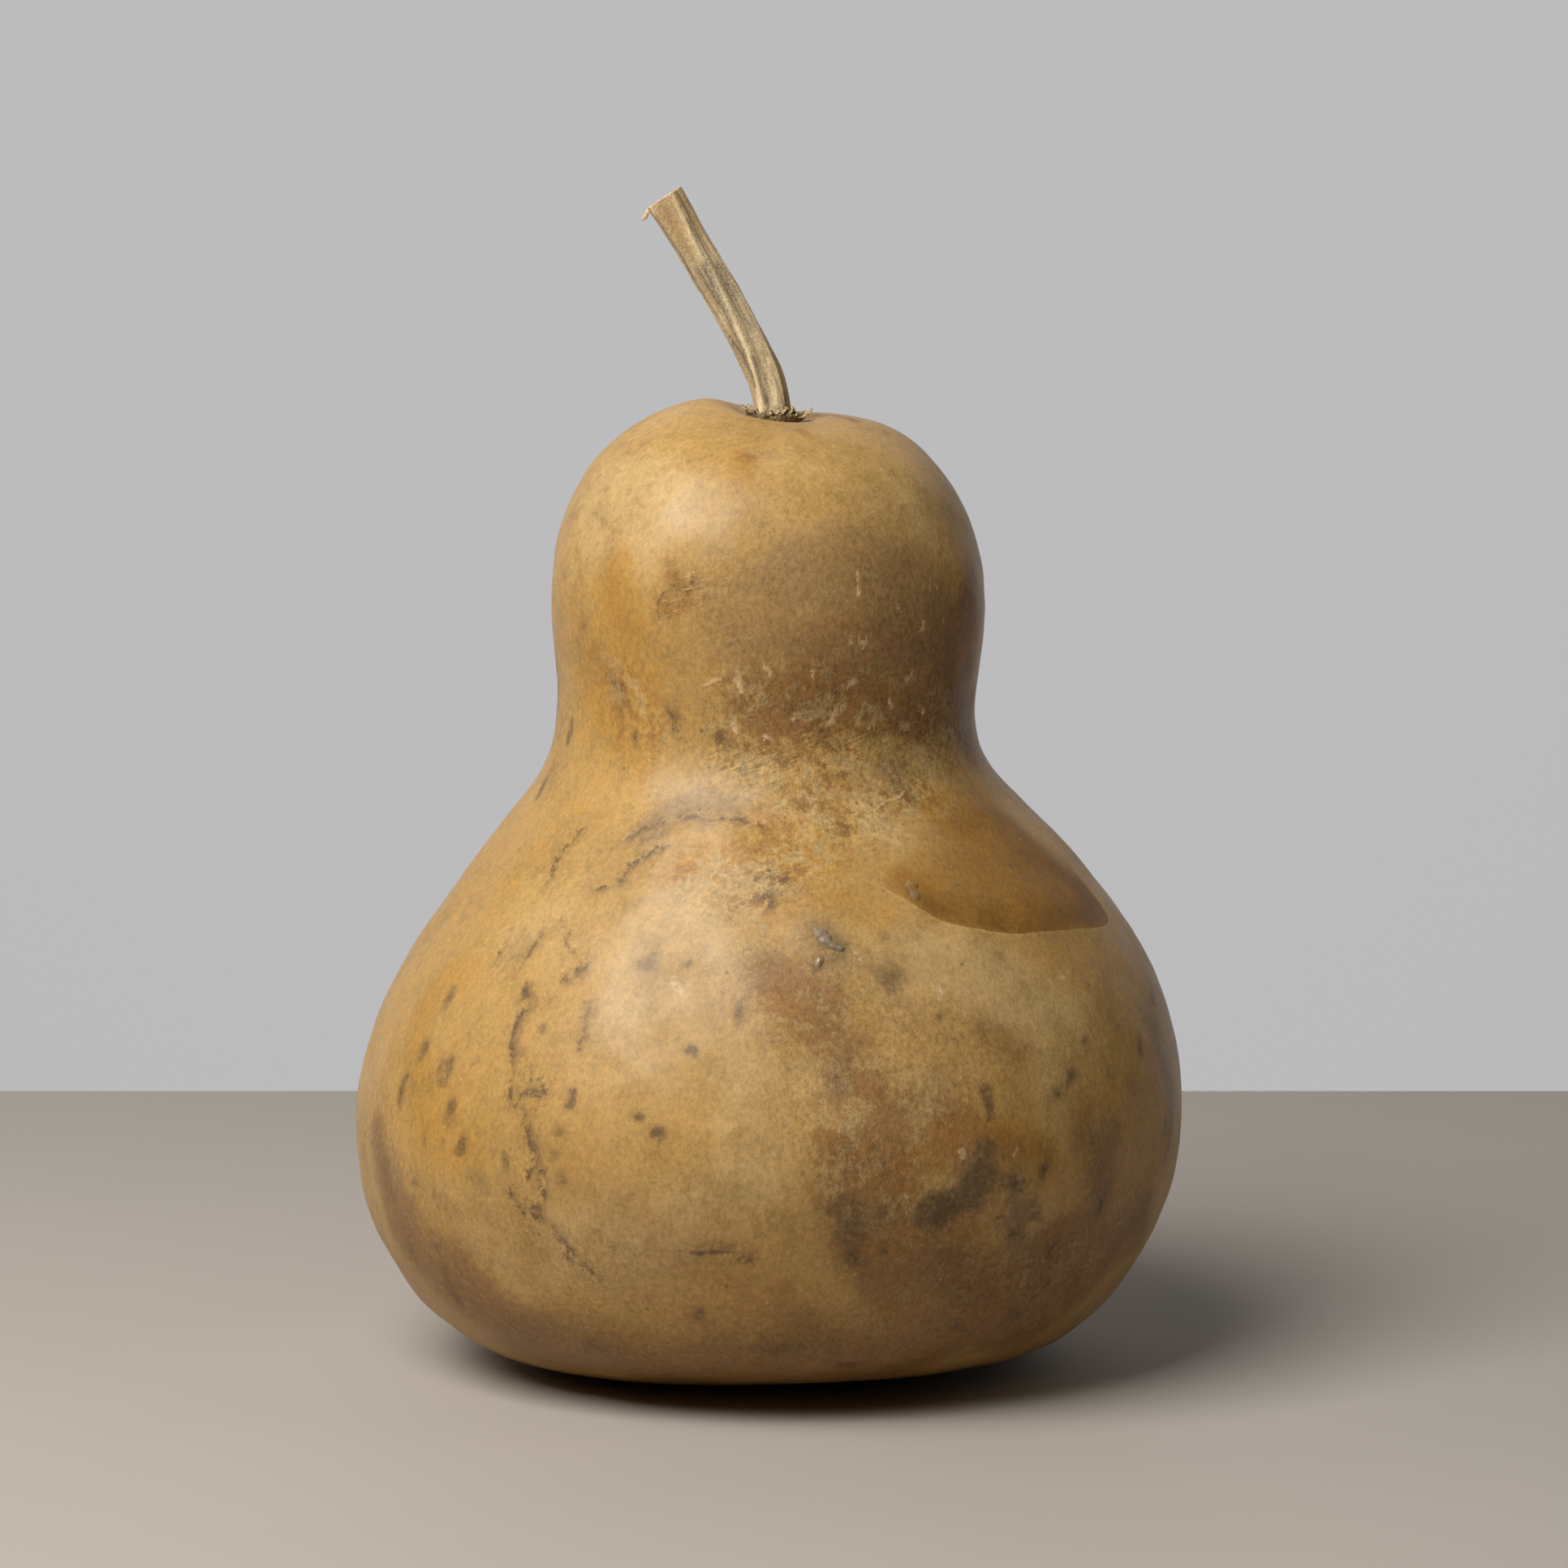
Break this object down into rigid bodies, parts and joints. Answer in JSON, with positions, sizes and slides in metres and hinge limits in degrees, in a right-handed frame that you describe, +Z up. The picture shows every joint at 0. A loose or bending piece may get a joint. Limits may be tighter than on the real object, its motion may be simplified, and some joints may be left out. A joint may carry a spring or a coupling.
{
  "type": "dried bottle gourd",
  "caption": "Whole dried bottle gourd with a broad belly, a waist, a smaller head and a bent, ribbed stalk, standing on its flattened base.",
  "frame": {"origin": "middle of the gourd's footprint, on the surface that it stands on", "axes": "+Z up through the belly and the head, +X to the right and -Y to the front, with the stalk bent towards -X"},
  "size_m": [0.181, 0.1777, 0.257],
  "materials": {
    "gourd_skin": "satin ochre gourd skin with amber stains, dark spots and fine scratches",
    "dry_stalk": "rough dry stalk with pale ribs and speckled grooves",
    "torn_cork": "matt torn cork"
  },
  "bodies": {
    "root": {"gourd_body": "gourd_skin", "stem": "dry_stalk", "stem_collar": "torn_cork"}
  },
  "joints": []
}
